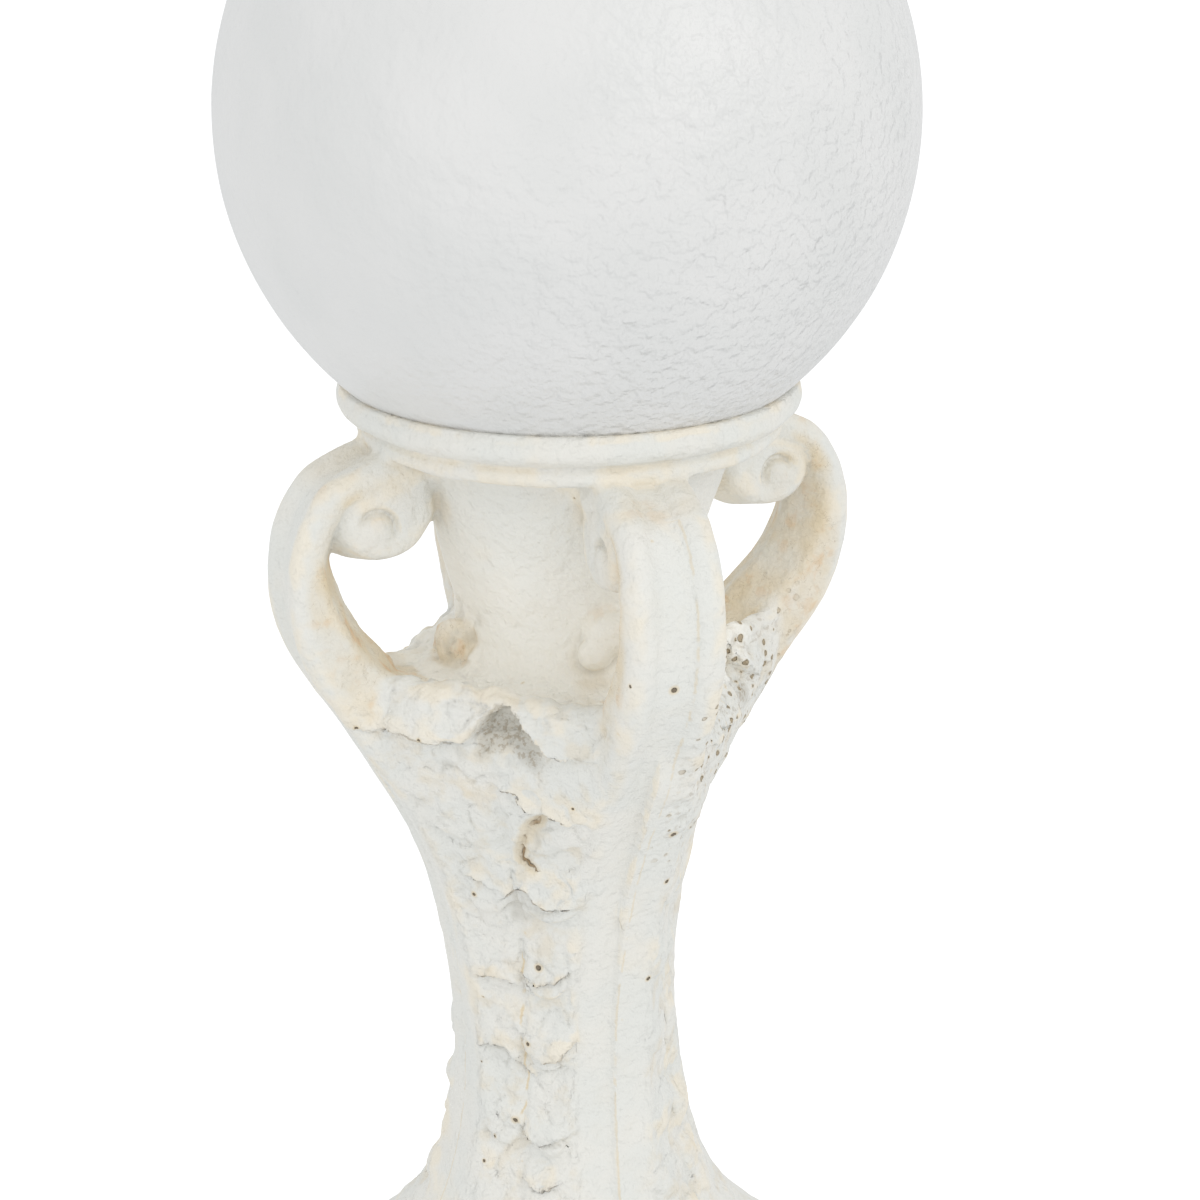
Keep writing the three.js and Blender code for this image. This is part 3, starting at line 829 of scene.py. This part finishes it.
def skin_point(points, azimuth, z):
    """The outermost of the points near an azimuth in degrees and a height."""
    radius = np.hypot(points[:, 0], points[:, 1])
    turn = np.arctan2(points[:, 1], points[:, 0])
    off = np.abs((turn - math.radians(azimuth) + math.pi) % (2 * math.pi) - math.pi) * radius
    near = np.hypot(off, points[:, 2] - z) < 2.5
    return points[near][np.argmax(radius[near])]


def keep_in_box(points):
    """Points moved onto the solid's own limits where the meshing rounds past them."""
    points = np.clip(points, CAST_LOW, CAST_HIGH)
    radius = np.maximum(np.hypot(points[:, 0], points[:, 1]), 1e-9)
    points[:, :2] *= np.minimum(1, PLINTH_RADIUS / radius)[:, None]
    return points


def make_pedestal():
    """The casting: its field is meshed, drawn onto the skin, roughened and thinned out."""
    field, low = pedestal_field()
    points, quads = net_surface(field, low)
    for _ in range(SMOOTH_PASSES):
        normals = slope_of(field, low, points)
        step = np.clip(sample(field, low, points), -LARGEST_STEP, LARGEST_STEP)
        points = points - step[:, None] * normals
    points = keep_in_box(points + cast_relief(points)[:, None] * slope_of(field, low, points))
    mesh = fewer_triangles(new_mesh("casting", points, quads), PEDESTAL_TRIANGLES)
    mesh.shade_smooth()
    add_measures(mesh, field, low)
    piece = bpy.data.objects.new("pedestal_casting", mesh)
    bpy.context.scene.collection.objects.link(piece)
    return piece


def make_ball():
    """The ball, with slow waves that stay inside the solid's sphere."""
    bpy.ops.mesh.primitive_uv_sphere_add(
        segments=BALL_SEGMENTS, ring_count=BALL_RINGS, radius=BALL_RADIUS * MM,
    )
    piece = bpy.context.object
    piece.name = "ball_shell"
    mesh = piece.data
    points = mesh_points(mesh)
    slow, fine = BALL_WAVES
    wave = slow * noise(points, 26, 2) + fine * noise(points, 9, 7) - slow - fine
    points *= (1 + wave / BALL_RADIUS)[:, None]
    points[:, 2] += BALL_CENTRE_Z
    mesh.vertices.foreach_set("co", (points * MM).astype(np.float32).ravel())
    mesh.update()
    mesh.shade_smooth()
    return piece


class Paint:
    """A node material, built by short calls that return sockets."""

    def __init__(self, name):
        self.material = bpy.data.materials.new(name)
        self.material.use_nodes = True
        self.tree = self.material.node_tree
        self.shader = self.tree.nodes["Principled BSDF"]
        self.place = self.tree.nodes.new("ShaderNodeTexCoord").outputs["Object"]

    def node(self, kind, inputs, **settings):
        node = self.tree.nodes.new(kind)
        for name, value in settings.items():
            setattr(node, name, value)
        for name, value in inputs.items():
            self.feed(node.inputs[name], value)
        return node

    def feed(self, socket, value):
        if isinstance(value, bpy.types.NodeSocket):
            self.tree.links.new(value, socket)
        elif isinstance(value, tuple) and len(value) == 3 and socket.type == "RGBA":
            socket.default_value = (*value, 1)
        else:
            socket.default_value = value

    def measure(self, name):
        return self.node("ShaderNodeAttribute", {}, attribute_name=name).outputs["Fac"]

    def noise(self, size, detail=2.0):
        inputs = {"Vector": self.place, "Scale": 1 / (size * MM), "Detail": detail}
        return self.node("ShaderNodeTexNoise", inputs).outputs["Fac"]

    def math(self, operation, a, b=0.0):
        return self.node("ShaderNodeMath", {0: a, 1: b}, operation=operation).outputs[0]

    def both(self, a, b):
        return self.math("MULTIPLY", a, b)

    def either(self, a, b):
        return self.math("MAXIMUM", a, b)

    def between(self, value, low, high, start=0.0, end=1.0):
        inputs = {"Value": value, "From Min": low, "From Max": high, "To Min": start, "To Max": end}
        return self.node("ShaderNodeMapRange", inputs, interpolation_type="SMOOTHSTEP").outputs["Result"]

    def mix(self, share, a, b):
        node = self.node("ShaderNodeMix", {0: share, 6: a, 7: b}, data_type="RGBA")
        return node.outputs[2]

    def thin_line(self, name, half_width):
        """1 along a line that the mesh has measures for, with a ragged and broken edge."""
        ragged = self.math("SUBTRACT", self.noise(1.6, 3), 0.5)
        side = self.math("ADD", self.measure(name + "_side"), ragged)
        core = self.between(self.math("ABSOLUTE", side), 0.1, half_width, 1.0, 0.0)
        shown = self.both(self.measure(name + "_near"), self.between(self.noise(7, 2), 0.38, 0.5))
        return self.both(core, shown)

    def pits(self, size, share, smallest, largest):
        """Round spots in a share of the cells of that size: 1 inside them, and 1 inside and around them."""
        inputs = {"Vector": self.place, "Scale": 1 / (PIT_WAVE * MM)}
        wave = self.node("ShaderNodeTexNoise", inputs).outputs["Color"]
        moved = {0: wave, 1: (PIT_RAGGEDNESS * MM,) * 3, 2: self.place}
        place = self.node("ShaderNodeVectorMath", moved, operation="MULTIPLY_ADD").outputs["Vector"]
        cells = self.node("ShaderNodeTexVoronoi", {"Vector": place, "Scale": 1 / (size * MM)})
        pick = self.node("ShaderNodeSeparateColor", {"Color": cells.outputs["Color"]}).outputs[0]
        reach = self.between(pick, 0.0, share, largest / size, smallest / size)
        chosen = self.math("LESS_THAN", pick, share)
        gap = self.math("SUBTRACT", cells.outputs["Distance"], reach)
        soft = PIT_SOFTNESS / size
        spot = self.both(self.between(gap, -soft, soft, 1.0, 0.0), chosen)
        halo = self.both(self.between(gap, -soft, 4 * soft, 1.0, 0.0), chosen)
        return spot, halo

    def spots(self, places):
        """Spots at given places [x, y, z, radius] in mm: 1 inside them and 1 inside and around them."""
        spot, halo = 0.0, 0.0
        for x, y, z, radius in places:
            inputs = {0: self.place, 1: (x * MM, y * MM, z * MM)}
            gap = self.node("ShaderNodeVectorMath", inputs, operation="DISTANCE").outputs["Value"]
            size = radius * MM
            spot = self.either(spot, self.between(gap, 0.6 * size, 1.1 * size, 1.0, 0.0))
            halo = self.either(halo, self.between(gap, 0.9 * size, 2.4 * size, 1.0, 0.0))
        return spot, halo

    def bump(self, height, depth, under=None):
        """A normal that is raised by depth mm where the height is 1."""
        inputs = {"Height": height, "Distance": depth * MM, "Strength": 1.0}
        if under is not None:
            inputs["Normal"] = under
        return self.node("ShaderNodeBump", inputs).outputs["Normal"]

    def dent(self, share, depth, under):
        """A normal that is sunk by depth mm where the share is 1."""
        return self.bump(self.math("SUBTRACT", 1.0, share), depth, under)

    def tint(self, color, share, other, strength):
        """The colour with another one laid over it where the share is high."""
        return self.mix(self.both(share, strength), color, other)

    def finish(self, color, normal, roughness):
        self.feed(self.shader.inputs["Base Color"], color)
        self.feed(self.shader.inputs["Normal"], normal)
        self.shader.inputs["Roughness"].default_value = roughness
        return self.material


# Pits of the paint, in mm
PIT_WAVE = 1.5
PIT_RAGGEDNESS = 0.9
PIT_SOFTNESS = 0.15

# Colours
WHITE = (0.84, 0.825, 0.775)
COOL = (0.81, 0.81, 0.77)
# Cream of the painted highlight on raised edges
HIGHLIGHT_CREAM = (0.90, 0.83, 0.70)
# Paler paint of the painted light on the inner floor
FLOOR_LIGHT_PALE = (0.98, 0.965, 0.91)
TAN = (0.78, 0.64, 0.42)
ORANGE = (0.74, 0.50, 0.28)
# Grey of the painted shade in crevices and hollows
SHADE_GREY = (0.56, 0.54, 0.48)
RUST = (0.38, 0.25, 0.13)
UMBER = (0.33, 0.25, 0.15)
BROWN = (0.10, 0.065, 0.035)
BALL_COOL = (0.755, 0.755, 0.745)
BALL_WARM = (0.785, 0.78, 0.77)
SKY = (0.975, 0.99, 1, 1)
SKY_STRENGTH = 0.87
LAMP = (1, 0.978, 0.94)
FLOOR_WHITE = 0.93
FLOOR_GLOW = 0.35


def lit_shaded_and_stained_color(paint, stain_and_shade, carved):
    """Off-white in two tones, with painted highlight on raised edges, painted light on the inner floor,
    painted shade in the recesses, and tan that is partly staining and partly painted shade.
    """
    patch = paint.noise(14, 3)
    color = paint.mix(paint.between(paint.noise(24, 3), 0.4, 0.6), WHITE, COOL)
    # Painted highlight: cream on raised edges, in patches
    edge_highlight = paint.both(paint.between(paint.measure("proud"), 0.02, 0.2), paint.between(patch, 0.42, 0.6))
    color = paint.tint(color, edge_highlight, HIGHLIGHT_CREAM, 0.8)
    # Painted light: paler paint on the floor inside the loops and at the neck's foot
    color = paint.tint(color, paint.measure("pale"), FLOOR_LIGHT_PALE, 0.9)
    # Painted shade: tan in the recesses, in patches
    deep = paint.both(paint.between(paint.measure("recess"), 0.35, 0.9), paint.between(patch, 0.35, 0.65))
    color = paint.tint(color, deep, TAN, 0.26)
    # Tan that is partly staining and partly painted shade, with rust runs and veins in it
    color = paint.tint(color, stain_and_shade, TAN, 0.75)
    run = paint.both(stain_and_shade, paint.between(paint.noise(7, 4), 0.55, 0.68))
    color = paint.tint(color, run, ORANGE, 0.7)
    vein = paint.math("ABSOLUTE", paint.math("SUBTRACT", paint.noise(5, 3), 0.5))
    vein = paint.both(paint.between(vein, 0.0, 0.008, 1.0, 0.0), paint.between(stain_and_shade, 0.1, 0.5))
    color = paint.tint(color, vein, UMBER, 0.35)
    faint = paint.both(paint.between(paint.noise(9, 4), 0.5, 0.68), carved)
    return paint.tint(color, faint, TAN, 0.28)


def lined_color(paint, color, crease, crack):
    """The colour with painted shade in its creases, along its middle crease and groove and in its hollows,
    and with its crack.
    """
    # Painted shade: grey in the crevices
    color = paint.tint(color, paint.between(paint.measure("crease"), 0.3, 0.85), SHADE_GREY, 0.4)
    # Painted shadow: a dark line under the lip of each crease
    color = paint.tint(color, crease, UMBER, 0.35)
    # Painted shade: tan lines along the middle crease and in the strap's groove
    color = paint.tint(color, paint.thin_line("middle_line", 0.6), TAN, 0.8)
    color = paint.tint(color, paint.thin_line("groove_line", 0.5), TAN, 0.4)
    color = paint.tint(color, paint.measure("crack_line_near"), TAN, 0.5)
    color = paint.tint(color, crack, RUST, 0.9)
    # Painted shade: grey with dark specks inside the pointed hollows under the lips
    hollow = paint.measure("hollow")
    color = paint.tint(color, hollow, SHADE_GREY, 0.65)
    speck = paint.both(hollow, paint.between(paint.noise(1.2, 3), 0.5, 0.62))
    return paint.tint(color, speck, UMBER, 0.5)


def cast_paint(holes):
    """Thick matt off-white paint with painted shade in its crevices and a painted highlight on its edges, and
    with pits and holes [x, y, z, radius] in mm.
    """
    paint = Paint("cast_paint")
    carved = paint.measure("carved")
    crease = paint.thin_line("crease_line", 0.45)
    crack = paint.thin_line("crack_line", 0.8)
    color = lit_shaded_and_stained_color(paint, paint.measure("stain_and_shade"), carved)
    color = lined_color(paint, color, crease, crack)
    rough = paint.measure("rough")
    speckle = paint.both(rough, paint.between(paint.noise(2.2, 3), 0.54, 0.68))
    color = paint.tint(color, speckle, UMBER, 0.3)
    few, few_halo = paint.pits(9, 0.12, 0.2, 0.5)
    dense, dense_halo = paint.pits(3.6, 0.6, 0.4, 1.1)
    listed, listed_halo = paint.spots(holes)
    few = paint.either(few, listed)
    dense = paint.both(dense, rough)
    halo = paint.either(paint.either(few_halo, listed_halo), paint.both(dense_halo, rough))
    color = paint.tint(color, halo, TAN, 0.7)
    color = paint.tint(color, dense, UMBER, 0.75)
    color = paint.tint(color, few, BROWN, 0.85)
    normal = paint.bump(paint.noise(1.3, 3), 0.35)
    normal = paint.bump(paint.noise(4, 3), 1.3, normal)
    normal = paint.bump(paint.both(paint.noise(7, 4), carved), 1.6, normal)
    normal = paint.dent(paint.either(crease, crack), 0.5, normal)
    normal = paint.dent(paint.either(few, dense), 0.8, normal)
    return paint.finish(color, normal, 0.6)


def ball_paint():
    """Satin white paint with an orange peel, coarser low on one side."""
    paint = Paint("ball_paint")
    side = Vector((math.cos(PEEL_AZIMUTH), math.sin(PEEL_AZIMUTH), -0.5)).normalized()
    along = paint.node("ShaderNodeVectorMath", {0: paint.place, 1: tuple(side)}, operation="DOT_PRODUCT")
    centre = side.z * BALL_CENTRE_Z * MM
    coarse = paint.between(along.outputs["Value"], centre + 0.02, centre + 0.1, 0.25, 1.0)
    peel = paint.both(paint.noise(3.6, 2), coarse)
    normal = paint.bump(peel, 1.9)
    normal = paint.bump(paint.noise(22, 1), 1.2, normal)
    color = paint.mix(paint.between(paint.noise(30, 2), 0.3, 0.7), BALL_COOL, BALL_WARM)
    return paint.finish(color, normal, 0.38)


def make_camera():
    """The camera, where the photograph was taken from and turned as it was."""
    camera = bpy.data.objects.new("camera", bpy.data.cameras.new("camera"))
    camera.data.lens = CAMERA_LENS
    camera.data.clip_start = 0.01
    height = BALL_CENTRE_Z * MM + CAMERA_ABOVE_BALL
    facing = CAMERA_AZIMUTH + math.pi - CAMERA_YAW
    camera.location = Vector((math.cos(CAMERA_AZIMUTH), math.sin(CAMERA_AZIMUTH), 0)) * CAMERA_DISTANCE
    camera.location.z = height
    direction = Vector((
        math.cos(facing) * math.cos(CAMERA_PITCH),
        math.sin(facing) * math.cos(CAMERA_PITCH),
        -math.sin(CAMERA_PITCH),
    ))
    camera.rotation_euler = direction.to_track_quat("-Z", "Y").to_euler()
    bpy.context.scene.collection.objects.link(camera)
    bpy.context.scene.camera = camera


def make_floor():
    """A pale floor that glows a little, so that it is as white as the photograph's ground."""
    bpy.ops.mesh.primitive_plane_add(size=40)
    floor = bpy.context.object
    floor.name = "floor"
    material = bpy.data.materials.new("floor")
    material.use_nodes = True
    shader = material.node_tree.nodes["Principled BSDF"]
    shader.inputs["Base Color"].default_value = (FLOOR_WHITE, FLOOR_WHITE, FLOOR_WHITE, 1)
    shader.inputs["Roughness"].default_value = 0.9
    shader.inputs["Emission Color"].default_value = (1, 1, 1, 1)
    shader.inputs["Emission Strength"].default_value = FLOOR_GLOW
    floor.data.materials.append(material)
    floor.visible_diffuse = False
    floor.visible_glossy = False


def add_light(name, azimuth, elevation, distance, size, power):
    """A soft square light, placed round the collar and aimed at it."""
    light = bpy.data.lights.new(name, "AREA")
    light.color = LAMP
    light.size = size
    light.energy = power
    lamp = bpy.data.objects.new(name, light)
    target = Vector((0, 0, COLLAR_TOP_Z * MM))
    a, e = math.radians(azimuth), math.radians(elevation)
    offset = Vector((math.cos(a) * math.cos(e), math.sin(a) * math.cos(e), math.sin(e))) * distance
    lamp.location = target + offset
    lamp.rotation_euler = (-offset).to_track_quat("-Z", "Y").to_euler()
    bpy.context.scene.collection.objects.link(lamp)


def make_light():
    world = bpy.data.worlds.new("studio")
    world.use_nodes = True
    background = world.node_tree.nodes["Background"]
    background.inputs["Color"].default_value = SKY
    background.inputs["Strength"].default_value = SKY_STRENGTH
    bpy.context.scene.world = world
    add_light("key", -72, 32, 1.6, 0.8, 3.9)
    add_light("fill", -140, 2, 1.6, 0.9, 1.7)


bpy.context.scene.view_settings.view_transform = "Standard"
make_camera()
make_light()
make_floor()
pedestal = make_pedestal()
skin = mesh_points(pedestal.data)
holes = [(*skin_point(skin, azimuth, z), radius) for azimuth, z, radius in HOLES]
pedestal.data.materials.append(cast_paint(holes))
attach(pedestal, "root")
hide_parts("pedestal")
ball = make_ball()
ball.data.materials.append(ball_paint())
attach(ball, "root")
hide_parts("ball")
